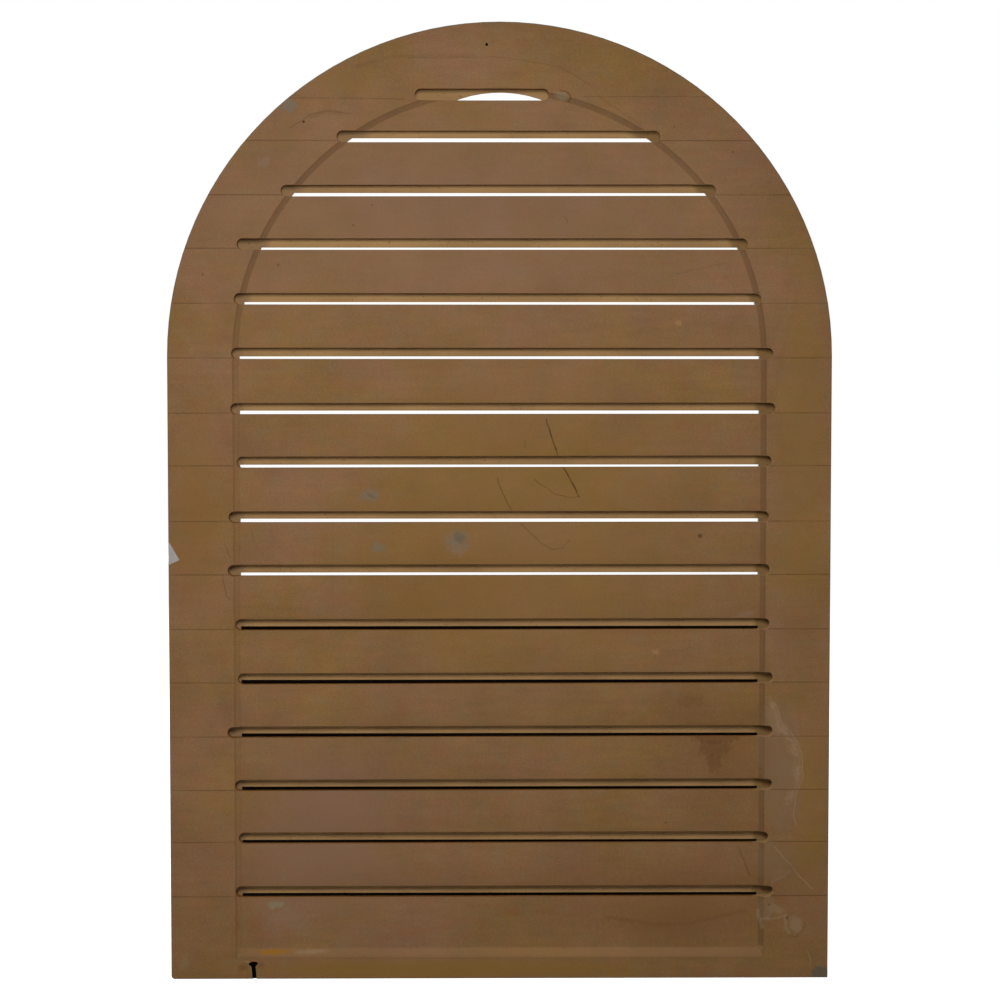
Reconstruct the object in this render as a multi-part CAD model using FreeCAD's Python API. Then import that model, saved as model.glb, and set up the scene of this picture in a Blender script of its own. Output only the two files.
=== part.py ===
import FreeCAD, Part
import math
import os

# A round-top gable vent, moulded in one piece, with air slots cut through it from its wall side.
# X runs across the vent and Z up from the middle of its bottom edge. Y runs through its thickness,
# from the wall side at -Y to the weather side at +Y. Depths are counted from the wall side.

# Outline
WIDTH = 558.8
ARCH_CENTRE_HEIGHT = 528.8
THICKNESS = 38.1
FRONT_CHAMFER = 1.8
WORN_CORNER = 3.0

# Trim frame round the louvre field
FRAME_WIDTH = 59.8
SILL_HEIGHT = 27.0

# Opening of the frame on the weather side: it is a little narrower than the recess, its arch starts
# higher, and its wall has a draft
OPENING_INSET = 0.8
OPENING_LIFT = 2.0
OPENING_DRAFT_DEG = 4.0
OPENING_CHAMFER = 1.2

# Shallow recess on the wall side, with a sloping wall
RECESS_DEPTH = 4.0
RECESS_SLOPE = 5.2
FOOT_SLOPE = 10.3

# Louvres on the weather side
LOUVRE_PITCH = 45.74
LOUVRE_WEB = 4.2
NOSE_SETBACK = 4.5
NOSE_HEIGHT = 4.0
NOSE_DRAFT_DEG = 5.0

# Air slots, cut by hand from the wall side with a straight cutter and set out a little short of
# the louvres' pitch, so that the gaps grow towards the top
CUTTER_DIAMETER = 9.5
SLOT_DEPTH = 8.4
LOWEST_SLOT_HEIGHT = 70.0
LOWEST_SLOT_LIP = 1.2
SETTING_OUT_ERROR = 0.2
CROWN_ROOM = 30.0

# How far each slot runs past the louvre field on the left and on the right, from the bottom up
SLOT_OVERRUNS = (
    (5, 13), (2, 9), (5, 12), (11, 12), (2, 12), (4, 9), (10, 9), (9, 8),
    (2, 10), (7, 13), (6, 11), (8, 5), (20, 8), (10, 8), (10, 8), (23, -7),
)

# How far above its setting-out line each slot was cut, from the bottom up
SLOT_SHIFTS = (-0.3, 0.3, 0, 0, -0.1, 0.3, 0.9, 0.4, 1.4, 0.7, 1.5, 1.7, 2.1, 1.4, 0.8, 0)

# How far each slot rises to the right, in degrees, from the bottom up
SLOT_TILTS_DEG = (
    0.04, 0.07, 0.1, 0.1, 0.12, 0.08, 0.05, 0.02, 0.11, 0.03, -0.03, -0.04, 0.02, 0.1, 0.03, 0,
)

# The slot under the crown opens into the louvres through a lens-shaped gap
CROWN_SLOT_DROP = 5.3
CROWN_GAP_LENGTH = 77.0
CROWN_GAP_RISE = 7.0
CROWN_GAP_DEPTH = 14.5

# Pocket in the bottom rail, open at the bottom edge, with a wider head
POCKET_FROM_SIDE = 70.7
POCKET_NECK_WIDTH = 3.5
POCKET_NECK_HEIGHT = 10.6
POCKET_HEAD_WIDTH = 8.6
POCKET_HEAD_HEIGHT = 13.3
POCKET_HEIGHT = 15.0
POCKET_DEPTH = 2.5
POCKET_LEAN_DEG = 4.8

# Nail hole in the crown of the frame
NAIL_HOLE_DIAMETER = 2.4
NAIL_HOLE_DEPTH = 12.0
NAIL_HOLE_FROM_TOP = 19.0
NAIL_HOLE_OFFSET = -11.0

# Chip broken out of the left edge of the wall side
CHIP_HEIGHT = 353.5
CHIP_LENGTH = 20.5
CHIP_REACH = 9.3
CHIP_POINT = 4.2
CHIP_DEPTH = 2.2

# How far a cutting tool stands out past the face that it enters
OVERCUT = 1.0

# Sizes that follow from those above
half_width = WIDTH / 2
field_half_width = half_width - FRAME_WIDTH
field_crown = ARCH_CENTRE_HEIGHT + field_half_width
field_depth = RECESS_DEPTH
opening_half_width = field_half_width - OPENING_INSET
opening_spring = ARCH_CENTRE_HEIGHT + OPENING_LIFT
opening_length = THICKNESS + OVERCUT - field_depth
opening_mouth = opening_half_width + opening_length * math.tan(math.radians(OPENING_DRAFT_DEG))
corner_depth = field_depth + LOUVRE_WEB
nose_depth = THICKNESS - NOSE_SETBACK
nose_rise = (nose_depth - corner_depth) * math.tan(math.radians(NOSE_DRAFT_DEG))
slot_floor_depth = field_depth + SLOT_DEPTH
slot_pitch = LOUVRE_PITCH - SETTING_OUT_ERROR
row_count = math.floor((field_crown - CROWN_ROOM - LOWEST_SLOT_HEIGHT) / slot_pitch) + 1
lowest_corner_height = LOWEST_SLOT_HEIGHT + LOWEST_SLOT_LIP
crown_slot_height = field_crown - CROWN_SLOT_DROP


def at(x, depth, height):
    """Point at a distance across, a depth from the wall side and a height above the bottom edge."""
    return FreeCAD.Vector(x, depth - THICKNESS / 2, height)


def prism(edges, length):
    """Solid between a closed outline and the same outline moved through the thickness."""
    return Part.Face(Part.Wire(edges)).extrude(FreeCAD.Vector(0, length, 0))


def path(*points):
    """Straight edges through the points, in order."""
    return [Part.LineSegment(a, b).toShape() for a, b in zip(points, points[1:])]


def arched_edges(reach, bottom, depth):
    """Outline with a flat foot, straight sides and a half-round top, at one depth."""
    foot = path(
        at(-reach, depth, ARCH_CENTRE_HEIGHT),
        at(-reach, depth, bottom),
        at(reach, depth, bottom),
        at(reach, depth, ARCH_CENTRE_HEIGHT),
    )
    crown = Part.Arc(
        at(reach, depth, ARCH_CENTRE_HEIGHT),
        at(0, depth, ARCH_CENTRE_HEIGHT + reach),
        at(-reach, depth, ARCH_CENTRE_HEIGHT),
    )
    return foot + [crown.toShape()]


def edges_at_depth(shape, depth):
    """Edges of a shape that lie wholly at one depth."""
    level = depth - THICKNESS / 2
    return [e for e in shape.Edges if abs(e.BoundBox.YMin - level) + abs(e.BoundBox.YMax - level) < 1e-3]


def blank():
    """Solid block of the vent's outline, worn round at its lower left corner and eased on its weather side."""
    block = prism(arched_edges(half_width, 0, 0), THICKNESS)
    corner = [e for e in block.Edges if e.BoundBox.XMax < 1e-3 - half_width and e.BoundBox.ZMax < 1e-3]
    block = block.makeFillet(WORN_CORNER, corner)
    return block.makeChamfer(FRONT_CHAMFER, edges_at_depth(block, THICKNESS))


def recess():
    """Shallow pocket of the wall side, wider at the face than at its floor."""
    spread = 1 + OVERCUT / RECESS_DEPTH
    rim = field_half_width + RECESS_SLOPE * spread
    foot = SILL_HEIGHT - FOOT_SLOPE * spread
    spring = ARCH_CENTRE_HEIGHT
    length = RECESS_DEPTH + OVERCUT
    arch = Part.makeCone(rim, field_half_width, length, at(0, -OVERCUT, spring), FreeCAD.Vector(0, 1, 0))
    plan = Part.makePolygon([
        at(-rim, -OVERCUT, foot),
        at(rim, -OVERCUT, foot),
        at(field_half_width, RECESS_DEPTH, foot),
        at(-field_half_width, RECESS_DEPTH, foot),
        at(-rim, -OVERCUT, foot),
    ])
    section = Part.makePolygon([
        at(-rim, -OVERCUT, foot),
        at(-rim, RECESS_DEPTH, SILL_HEIGHT),
        at(-rim, RECESS_DEPTH, spring),
        at(-rim, -OVERCUT, spring),
        at(-rim, -OVERCUT, foot),
    ])
    sides = Part.Face(plan).extrude(FreeCAD.Vector(0, 0, spring - foot))
    upright = Part.Face(section).extrude(FreeCAD.Vector(2 * rim, 0, 0))
    return arch.fuse(sides.common(upright))


def opening():
    """Space inside the trim frame, wider at the weather side than at the louvres."""
    front = THICKNESS + OVERCUT
    centre = at(0, field_depth, opening_spring)
    arch = Part.makeCone(opening_half_width, opening_mouth, opening_length, centre, FreeCAD.Vector(0, 1, 0))
    plan = Part.makePolygon([
        at(-opening_half_width, field_depth, SILL_HEIGHT),
        at(opening_half_width, field_depth, SILL_HEIGHT),
        at(opening_mouth, front, SILL_HEIGHT),
        at(-opening_mouth, front, SILL_HEIGHT),
        at(-opening_half_width, field_depth, SILL_HEIGHT),
    ])
    sides = Part.Face(plan).extrude(FreeCAD.Vector(0, 0, opening_spring - SILL_HEIGHT))
    return arch.fuse(sides)


def louvre_air():
    """Space in front of the louvres, inside the trim frame: a sawtooth down the vent's section."""
    def spot(depth, height):
        return at(-opening_mouth - OVERCUT, depth, height)

    front = THICKNESS + OVERCUT
    ceiling = opening_spring + opening_mouth + LOUVRE_PITCH
    tooth_tops = [lowest_corner_height + row * LOUVRE_PITCH for row in range(row_count + 1)]
    section = [spot(front, SILL_HEIGHT), spot(nose_depth, SILL_HEIGHT)]
    nose_foot = SILL_HEIGHT
    for corner_height in tooth_tops:
        section.append(spot(nose_depth, nose_foot + NOSE_HEIGHT))
        section.append(spot(corner_depth, corner_height))
        nose_foot = corner_height + nose_rise
        section.append(spot(nose_depth, nose_foot))
    section += [spot(nose_depth, ceiling), spot(front, ceiling), section[0]]
    across = FreeCAD.Vector(2 * (opening_mouth + OVERCUT), 0, 0)
    sawtooth = Part.Face(Part.makePolygon(section)).extrude(across)
    return sawtooth.common(opening())


def field_reach(height):
    """Half the width of the louvre field at a height."""
    above = max(height - ARCH_CENTRE_HEIGHT, 0)
    return math.sqrt(field_half_width ** 2 - above ** 2)


def slot(height, overruns, tilt):
    """One slot with round ends: its lower edge is at the height, and it runs past the field each way."""
    radius = CUTTER_DIAMETER / 2
    left = -field_reach(height) - overruns[0]
    right = field_reach(height) + overruns[1]
    low = height
    high = height + CUTTER_DIAMETER
    start = -OVERCUT
    right_end = Part.Arc(
        at(right - radius, start, low), at(right, start, low + radius), at(right - radius, start, high)
    )
    left_end = Part.Arc(
        at(left + radius, start, high), at(left, start, low + radius), at(left + radius, start, low)
    )
    edges = path(at(left + radius, start, low), at(right - radius, start, low))
    edges.append(right_end.toShape())
    edges += path(at(right - radius, start, high), at(left + radius, start, high))
    edges.append(left_end.toShape())
    solid = prism(edges, slot_floor_depth + OVERCUT)
    solid.rotate(at(0, 0, height), FreeCAD.Vector(0, 1, 0), -tilt)
    return solid


def slots():
    """Every slot, from the bottom row up to the short one under the crown."""
    lines = [LOWEST_SLOT_HEIGHT + row * slot_pitch for row in range(row_count)] + [crown_slot_height]
    hand = list(zip(SLOT_SHIFTS, SLOT_OVERRUNS, SLOT_TILTS_DEG))
    cuts = []
    for i, line in enumerate(lines):
        shift, overruns, tilt = hand[i % len(hand)]
        cuts.append(slot(line + shift, overruns, tilt))
    return cuts


def crown_gap():
    """Lens-shaped way through from the top slot into the louvres."""
    end = CROWN_GAP_LENGTH / 2
    left = at(-end, field_depth, crown_slot_height)
    right = at(end, field_depth, crown_slot_height)
    bow = Part.Arc(right, at(0, field_depth, crown_slot_height + CROWN_GAP_RISE), left)
    return prism(path(left, right) + [bow.toShape()], CROWN_GAP_DEPTH)


def pocket():
    """Pocket with a narrow neck and a mushroom head, leaning a little, open at the bottom edge."""
    neck = POCKET_NECK_WIDTH / 2
    head = POCKET_HEAD_WIDTH / 2
    foot = -POCKET_HEIGHT
    start = -OVERCUT
    cap = Part.Arc(
        at(head, start, POCKET_HEAD_HEIGHT), at(0, start, POCKET_HEIGHT), at(-head, start, POCKET_HEAD_HEIGHT)
    )
    edges = path(
        at(-head, start, POCKET_HEAD_HEIGHT),
        at(-neck, start, POCKET_NECK_HEIGHT),
        at(-neck, start, foot),
        at(neck, start, foot),
        at(neck, start, POCKET_NECK_HEIGHT),
        at(head, start, POCKET_HEAD_HEIGHT),
    )
    solid = prism(edges + [cap.toShape()], POCKET_DEPTH + OVERCUT)
    solid.rotate(FreeCAD.Vector(0, 0, 0), FreeCAD.Vector(0, 1, 0), -POCKET_LEAN_DEG)
    solid.translate(FreeCAD.Vector(POCKET_FROM_SIDE - half_width, 0, 0))
    return solid


def nail_hole():
    """Blind round hole in the crown of the frame."""
    mouth = at(NAIL_HOLE_OFFSET, -OVERCUT, ARCH_CENTRE_HEIGHT + half_width - NAIL_HOLE_FROM_TOP)
    along = FreeCAD.Vector(0, 1, 0)
    return Part.makeCylinder(NAIL_HOLE_DIAMETER / 2, NAIL_HOLE_DEPTH + OVERCUT, mouth, along)


def chip():
    """Three-sided flake out of the left edge: two corners on the edge, one on the face, one on the side."""
    low = at(-half_width, 0, CHIP_HEIGHT)
    high = at(-half_width, 0, CHIP_HEIGHT + CHIP_LENGTH)
    inner = at(CHIP_REACH - half_width, 0, CHIP_HEIGHT + CHIP_POINT)
    deep = at(-half_width, CHIP_DEPTH, CHIP_HEIGHT + CHIP_POINT)
    corners = ((low, inner, high), (low, high, deep), (low, deep, inner), (high, inner, deep))
    faces = [Part.Face(Part.makePolygon(list(c) + [c[0]])) for c in corners]
    return Part.Solid(Part.Shell(faces))


def vent_panel():
    """The whole moulding."""
    tools = [recess(), louvre_air(), crown_gap(), pocket(), nail_hole(), chip()] + slots()
    panel = blank().cut(tools).removeSplitter()
    opening_edges = [
        e for e in edges_at_depth(panel, THICKNESS)
        if all(abs(v.X) < opening_mouth + OVERCUT for v in e.Vertexes)
    ]
    return panel.makeChamfer(OPENING_CHAMFER, opening_edges).Solids[0]


os.makedirs("parts", exist_ok=True)
vent_panel().exportStep("parts/vent_panel.step")
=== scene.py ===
import logging
import math
from dataclasses import dataclass, field
from enum import Enum, IntEnum
from functools import reduce

import bmesh
import bpy
from bmesh.types import BMEdge, BMesh, BMFace, BMVert
from bpy.types import Material, Node, NodeSocket, Object, ShaderNodeTree
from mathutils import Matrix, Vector


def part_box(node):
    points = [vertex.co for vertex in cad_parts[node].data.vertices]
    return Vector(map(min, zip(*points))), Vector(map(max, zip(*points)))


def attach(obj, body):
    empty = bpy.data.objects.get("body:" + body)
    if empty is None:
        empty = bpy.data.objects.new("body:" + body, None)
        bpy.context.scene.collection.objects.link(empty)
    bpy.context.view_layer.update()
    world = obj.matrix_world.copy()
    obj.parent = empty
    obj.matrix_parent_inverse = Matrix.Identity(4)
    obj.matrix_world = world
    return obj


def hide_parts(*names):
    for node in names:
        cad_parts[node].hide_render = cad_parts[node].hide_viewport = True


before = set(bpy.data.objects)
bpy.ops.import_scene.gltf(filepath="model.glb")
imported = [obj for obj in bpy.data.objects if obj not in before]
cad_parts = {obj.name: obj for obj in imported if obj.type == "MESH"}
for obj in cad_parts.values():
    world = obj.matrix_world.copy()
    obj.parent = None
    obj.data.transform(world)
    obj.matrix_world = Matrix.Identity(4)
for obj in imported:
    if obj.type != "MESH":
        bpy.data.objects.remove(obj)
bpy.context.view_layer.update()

# A round-top gable vent, moulded in one piece, seen from its wall side.
# X runs across, Y through the thickness from the wall side to the weather side, and Z up.
# Lengths of meshes are in metres. Marks are placed in millimetres across and up the board.

NODE = "vent_panel"
BODY = "root"
MM = 0.001
PER_METRE = 1000.0
WHITE = (1.0, 1.0, 1.0, 1.0)

Spot = tuple[float, float]
Place = tuple[float, float, float]
Colour = tuple[float, float, float, float]
Feed = NodeSocket | float | tuple[float, ...]

log = logging.getLogger("gable_vent")


def linear(red: int, green: int, blue: int) -> Colour:
    """Turn a screen colour into the linear colour that a shader takes.

    Args:
        red: Red of the screen colour, from 0 to 255.
        green: Green of the screen colour.
        blue: Blue of the screen colour.

    Returns:
        The linear colour with full opacity.
    """
    def channel(level: int) -> float:
        """Linear value of one channel."""
        share = level / 255
        return share / 12.92 if share <= 0.04045 else ((share + 0.055) / 1.055) ** 2.4

    return (channel(red), channel(green), channel(blue), 1.0)


def new_piece(mesh: BMesh, name: str) -> Object:
    """Turn a finished mesh into an object at the origin.

    Args:
        mesh: The mesh, which is freed.
        name: Name of the object and of its data.

    Returns:
        The object, in the scene.
    """
    data = bpy.data.meshes.new(name)
    mesh.to_mesh(data)
    mesh.free()
    piece = bpy.data.objects.new(name, data)
    bpy.context.scene.collection.objects.link(piece)
    return piece


class Tone(Enum):
    """Colours of the moulding and of the marks on it, as they look in plain light."""

    SKIN_RED = linear(120, 87, 61)
    SKIN_OLIVE = linear(119, 90, 49)
    SKIN_WARM = linear(126, 83, 54)
    SKIN_DULL = linear(114, 92, 64)
    SKIN_ROSE = linear(121, 91, 71)
    SKIN_GOLD = linear(120, 90, 41)
    SKIN_BROWN = linear(110, 75, 38)
    SLOPE_SOIL_AND_SHADE = linear(84, 62, 45)
    FOAM_PALE = linear(160, 126, 83)
    FOAM_DARK = linear(146, 114, 75)
    FOAM_END = linear(134, 105, 72)
    # Painted shade: the floors at the right slot ends are darker than those at the left.
    FOAM_END_SHADED = linear(120, 93, 57)
    # Painted shade: the slot walls are the same foam as the floors, given darker, warmer tones for the shade
    # in the slots.
    FOAM_WALL_SHADE = linear(124, 84, 40)
    FOAM_WALL_DEEP_SHADE = linear(108, 70, 30)
    PRIMER = linear(178, 174, 168)
    PRIMER_WARM = linear(168, 162, 152)
    PRIMER_SHADE = linear(128, 124, 118)
    # Dark primer of the eased rim round the wall side: partly dirt, partly painted shade on the rim as it
    # turns from the lamp.
    EDGE = linear(82, 70, 54)
    EDGE_WARM = linear(78, 62, 44)
    EDGE_DARK = linear(56, 48, 40)
    CHIP = linear(150, 144, 139)
    SMEAR_GREY = linear(108, 96, 78)
    SMEAR_DARK = linear(88, 76, 60)
    SMEAR_GREEN = linear(118, 107, 82)
    SMEAR_PALE = linear(136, 119, 92)
    LAVENDER = linear(122, 97, 78)
    SMUDGE = linear(87, 78, 64)
    PENCIL = linear(58, 36, 14)
    STAIN = linear(88, 58, 30)
    AMBER = linear(142, 96, 24)
    DUST = linear(160, 122, 82)
    FILM = linear(115, 92, 68)
    FILM_EDGE = linear(152, 128, 103)
    RED_BROWN = linear(120, 72, 44)
    HOLE_SHADE = linear(7, 5, 4)
    BLACK = linear(14, 10, 8)


@dataclass(frozen=True)
class Stroke:
    """Line drawn, scratched or stained on the board.

    Attributes:
        points: Where the line runs, across and up the board in millimetres.
        width: Width of the line in millimetres.
        tone: Its colour.
        strength: How far the line covers what is under it.
        blur: Width of its soft edge in millimetres.
        shake: How far it strays from its points in millimetres.
    """

    points: tuple[Spot, ...]
    width: float
    tone: Tone
    strength: float
    blur: float = 0.7
    shake: float = 0.8

    @property
    def span(self) -> Spot:
        """Lowest and highest place that the stroke reaches."""
        heights = [height for _, height in self.points]
        room = self.width / 2 + self.blur + 2 * self.shake
        return (min(heights) - room, max(heights) + room)


@dataclass(frozen=True)
class Patch:
    """Soft spot of another colour on the board.

    Attributes:
        centre: Its middle, across and up the board in millimetres.
        reach: Half its length across and half its height in millimetres.
        tone: Its colour.
        strength: How far it covers what is under it.
        turn: How far it leans, in degrees.
        ragged: How uneven its edge is, as a share of its size.
        hard: Share of its size at which the edge starts to fade.
    """

    centre: Spot
    reach: Spot
    tone: Tone
    strength: float
    turn: float = 0.0
    ragged: float = 1.0
    hard: float = 0.6

    @property
    def span(self) -> Spot:
        """Lowest and highest place that the patch reaches."""
        room = max(self.reach) * (1 + self.ragged)
        return (self.centre[1] - room, self.centre[1] + room)


@dataclass(frozen=True)
class Cloud(Patch):
    """Large patch with an even rim that fades out from near its middle."""

    ragged: float = 0.2
    hard: float = 0.2


Mark = Stroke | Patch


def specks(tone: Tone, strength: float, *spots: Place) -> tuple[Patch, ...]:
    """Make round specks, each given by its place across, its place up and its radius in millimetres."""
    return tuple(Patch((across, up), (radius, radius), tone, strength, ragged=0.2)
                 for across, up, radius in spots)


class NodeSums:
    """Nodes of one tree, written as sums on their sockets."""

    MEASURES = {"LENGTH", "DISTANCE", "DOT_PRODUCT"}

    def __init__(self, tree: ShaderNodeTree) -> None:
        """Start with a tree."""
        self.tree = tree

    def feed(self, socket: NodeSocket, value: Feed) -> None:
        """Link a socket to another one, or set its own value.

        Args:
            socket: The socket that takes the value.
            value: A socket to link, or a number or vector to set.
        """
        if isinstance(value, NodeSocket):
            self.tree.links.new(value, socket)
        else:
            socket.default_value = value

    def fill(self, node: Node, **values: Feed) -> None:
        """Feed a node's sockets, named with _ for a space."""
        for name, value in values.items():
            self.feed(node.inputs[name.replace("_", " ")], value)

    def node(self, kind: str, *values: Feed, **choices: str | ShaderNodeTree) -> Node:
        """Add a node.

        Args:
            kind: Kind of shader node.
            values: What its first sockets take, in order.
            choices: Its settings.

        Returns:
            The node.
        """
        node = self.tree.nodes.new("ShaderNode" + kind)
        for name, choice in choices.items():
            setattr(node, name, choice)
        for socket, value in zip(node.inputs, values):
            self.feed(socket, value)
        return node

    def math(self, operation: str, *values: Feed) -> NodeSocket:
        """Work out a number from others with a Math node."""
        return self.node("Math", *values, operation=operation).outputs[0]

    def times(self, *values: Feed) -> NodeSocket:
        """Multiply two or more numbers, in order."""
        return reduce(lambda first, second: self.math("MULTIPLY", first, second), values)

    def vector(self, operation: str, *values: Feed) -> NodeSocket:
        """Work out a vector or a measure from vectors with a Vector Math node."""
        node = self.node("VectorMath", *values, operation=operation)
        return node.outputs["Value" if operation in self.MEASURES else "Vector"]

    def scaled(self, vector: Feed, factor: Feed) -> NodeSocket:
        """Multiply a vector by a number.

        Args:
            vector: The vector.
            factor: The number.

        Returns:
            The socket with the longer or shorter vector.
        """
        node = self.node("VectorMath", vector, operation="SCALE")
        self.fill(node, Scale=factor)
        return node.outputs["Vector"]


class FinishGraph(NodeSums):
    """Nodes of one finish."""

    noise_dimensions = "3D"

    def __init__(self, name: str) -> None:
        """Start a finish with a plain shader and the place on the piece in millimetres."""
        self.material: Material = bpy.data.materials.new(name)
        self.material.use_nodes = True
        super().__init__(self.material.node_tree)
        self.shader: Node = self.tree.nodes["Principled BSDF"]
        self.solid = self.scaled(self.node("TexCoord").outputs["Object"], PER_METRE)
        self.place = self.solid

    def flat(self, across: Feed, up: Feed) -> NodeSocket:
        """Join two numbers as a place on a plane."""
        return self.node("CombineXYZ", across, up).outputs[0]

    def axis(self, letter: str) -> NodeSocket:
        """Place along one axis of the piece, in millimetres."""
        return self.node("SeparateXYZ", self.solid).outputs[letter]

    def noise(self, size: float, detail: float = 2.0, stretch: Place = (1, 1, 1), seed: float = 0.0,
              roughness: float = 0.5, colour: bool = False) -> NodeSocket:
        """Uneven pattern over the piece.

        Args:
            size: Size of its features in millimetres.
            detail: How many finer layers it has.
            stretch: How much longer the features are along each axis.
            seed: Shift that gives each use a pattern of its own.
            roughness: Weight of the finer layers.
            colour: Whether to give three patterns as a colour, and not one.

        Returns:
            The socket with the pattern, about 0.5 on average.
        """
        squeeze = tuple(1 / (size * s) for s in stretch)
        spot = self.vector("MULTIPLY_ADD", self.place, squeeze, (seed, seed, seed))
        node = self.node("TexNoise", noise_dimensions=self.noise_dimensions)
        self.fill(node, Vector=spot, Scale=1.0, Detail=detail, Roughness=roughness)
        return node.outputs["Color" if colour else "Fac"]

    def fade(self, value: Feed, start: float, end: float, low: float = 0.0, high: float = 1.0) -> NodeSocket:
        """Ease a number from one level to another.

        Args:
            value: The number to read.
            start: Where the change starts.
            end: Where the change ends.
            low: Level up to the start.
            high: Level past the end.

        Returns:
            The socket with the eased level.
        """
        node = self.node("MapRange", value, interpolation_type="SMOOTHSTEP")
        self.fill(node, From_Min=start, From_Max=end, To_Min=low, To_Max=high)
        return node.outputs["Result"]

    def tint(self, share: Feed, under: Feed, over: Feed) -> NodeSocket:
        """Lay one colour over another.

        Args:
            share: How far the upper colour covers the lower one.
            under: Lower colour.
            over: Upper colour.

        Returns:
            The socket with the mixed colour.
        """
        node = self.node("Mix", data_type="RGBA")
        self.fill(node, Factor=share)
        for socket, colour in zip((s for s in node.inputs if s.type == "RGBA"), (under, over)):
            self.feed(socket, colour)
        return next(s for s in node.outputs if s.type == "RGBA")

    def shade(self, colour: Feed, pattern: NodeSocket, depth: float) -> NodeSocket:
        """Make a colour lighter and darker with a pattern.

        Args:
            colour: The colour to change.
            pattern: Pattern of about 0.5 on average.
            depth: Part of the brightness by which it changes each way.

        Returns:
            The socket with the changed colour.
        """
        level = self.math("MULTIPLY_ADD", pattern, 2 * depth, 1 - depth)
        plain = colour if isinstance(colour, NodeSocket) else colour[:3]
        return self.scaled(plain, level)

    def relief(self, height: NodeSocket, distance: float, strength: float = 1.0,
               under: NodeSocket | None = None) -> NodeSocket:
        """Turn a height pattern into a bumpy surface.

        Args:
            height: Height from 0 to 1.
            distance: Real height of the relief in metres.
            strength: How much of it shows.
            under: Relief that this one lies on.

        Returns:
            The socket with the bumpy normal.
        """
        node = self.node("Bump")
        self.fill(node, Height=height, Distance=distance, Strength=strength)
        if under is not None:
            self.fill(node, Normal=under)
        return node.outputs["Normal"]

    def set(self, **values: Feed) -> None:
        """Feed the shader's sockets, named with _ for a space."""
        self.fill(self.shader, **values)


def segment_group() -> ShaderNodeTree:
    """Make, once, the group of nodes that measures the distance to a straight segment.

    Returns:
        The group, with a spot and the segment's two ends as vectors going in.
    """
    name = "distance to a segment"
    if name in bpy.data.node_groups:
        return bpy.data.node_groups[name]
    group = bpy.data.node_groups.new(name, "ShaderNodeTree")
    for label in ("Spot", "Start", "End"):
        group.interface.new_socket(label, in_out="INPUT", socket_type="NodeSocketVector")
    group.interface.new_socket("Distance", in_out="OUTPUT", socket_type="NodeSocketFloat")
    spot, start, end = group.nodes.new("NodeGroupInput").outputs[:3]
    sums = NodeSums(group)
    away, along = sums.vector("SUBTRACT", spot, start), sums.vector("SUBTRACT", end, start)
    share = sums.math("DIVIDE", sums.vector("DOT_PRODUCT", away, along),
                      sums.vector("DOT_PRODUCT", along, along))
    share.node.use_clamp = True
    gap = sums.vector("DISTANCE", away, sums.scaled(along, share))
    sums.fill(group.nodes.new("NodeGroupOutput"), Distance=gap)
    return group


class MarkGraph(FinishGraph):
    """Finish that carries strokes and patches. Its patterns lie flat, across and up the board."""

    noise_dimensions = "2D"

    def __init__(self, name: str) -> None:
        """Start the finish, with the place on the board as across, up and nothing."""
        super().__init__(name)
        self.place = self.flat(self.axis("X"), self.axis("Z"))
        self.wander = self.vector("SUBTRACT", self.noise(9, 1, colour=True, seed=3.7), (0.5, 0.5, 0.5))
        self.wear = self.noise(11, 2, seed=9.1)
        self.crumble = self.noise(4.5, 3, seed=6.6, roughness=0.6)

    def stroke(self, mark: Stroke) -> NodeSocket:
        """Find where a stroke covers the board.

        Args:
            mark: The stroke.

        Returns:
            The socket with its cover, from 0 to its strength.
        """
        sway = 2 * mark.shake
        shaken = self.vector("MULTIPLY_ADD", self.wander, (sway, sway, 0), self.place)
        nearest: NodeSocket | None = None
        for start, end in zip(mark.points, mark.points[1:]):
            node = self.node("Group", node_tree=segment_group())
            self.fill(node, Spot=shaken, Start=(*start, 0), End=(*end, 0))
            distance = node.outputs["Distance"]
            nearest = distance if nearest is None else self.math("MINIMUM", nearest, distance)
        half, soft = mark.width / 2, mark.blur / 2
        cover = self.fade(nearest, max(half - soft, 0), half + soft, mark.strength, 0)
        return self.times(cover, self.fade(self.wear, 0.25, 0.55, 0.55, 1))

    def patch(self, mark: Patch) -> NodeSocket:
        """Find where a patch covers the board.

        Args:
            mark: The patch.

        Returns:
            The socket with its cover, from 0 to its strength.
        """
        node = self.node("Mapping", self.place, vector_type="TEXTURE")
        self.fill(node, Location=(*mark.centre, 0), Rotation=(0, 0, math.radians(mark.turn)),
                  Scale=(*mark.reach, 1))
        radius = self.vector("LENGTH", node.outputs["Vector"])
        rim = self.math("MULTIPLY_ADD", self.crumble, 2 * mark.ragged, -mark.ragged)
        return self.fade(self.math("ADD", radius, rim), mark.hard, 1.0, mark.strength, 0)

    def lay(self, colour: NodeSocket, marks: tuple[Mark, ...]) -> NodeSocket:
        """Lay marks over a colour, in order.

        Args:
            colour: The colour under them.
            marks: The marks.

        Returns:
            The socket with the marked colour.
        """
        for mark in marks:
            cover = self.stroke(mark) if isinstance(mark, Stroke) else self.patch(mark)
            colour = self.tint(cover, colour, mark.tone.value)
        return colour


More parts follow.
